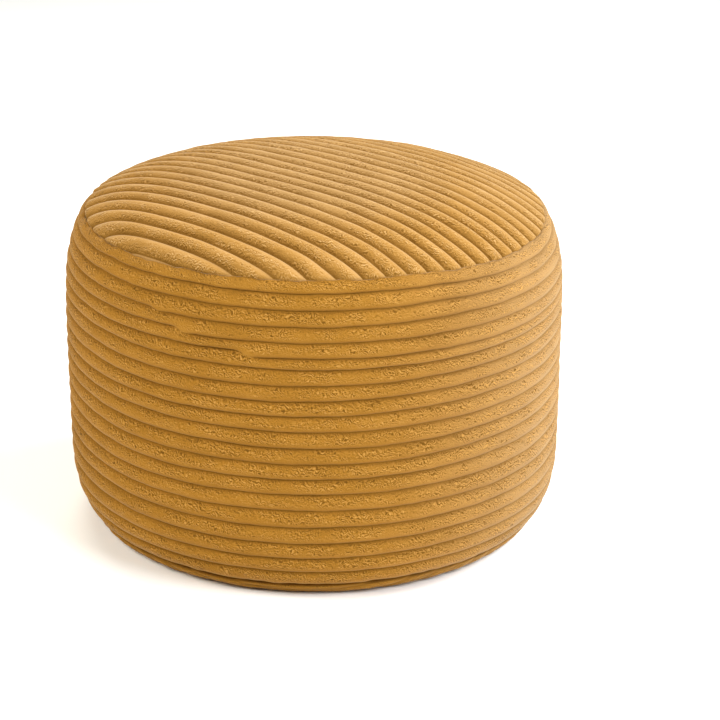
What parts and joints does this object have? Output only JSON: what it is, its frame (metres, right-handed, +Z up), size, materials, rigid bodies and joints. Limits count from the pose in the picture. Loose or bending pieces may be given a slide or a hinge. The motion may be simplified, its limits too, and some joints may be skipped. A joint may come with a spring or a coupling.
{
  "type": "corduroy footstool",
  "caption": "Round drum-shaped footstool sewn from wide-ribbed corduroy and softly filled, with a crowned top ribbed straight across, a side band ribbed all round and a flat foot.",
  "frame": {"origin": "on the floor under the middle of the footstool", "axes": "+Z up; the pictured side faces -Y; the band's closing seam is at the back, on +Y"},
  "size_m": [0.4997, 0.5, 0.3552],
  "materials": {
    "top_cloth": "wide-ribbed corduroy pile, ochre, soft sheen",
    "band_cloth": "wide-ribbed corduroy pile, ochre, soft sheen",
    "foot_cloth": "wide-ribbed corduroy pile, ochre, pressed flat"
  },
  "bodies": {
    "root": {"top_panel": "top_cloth", "side_band": "band_cloth", "bottom_panel": "foot_cloth"}
  },
  "joints": []
}
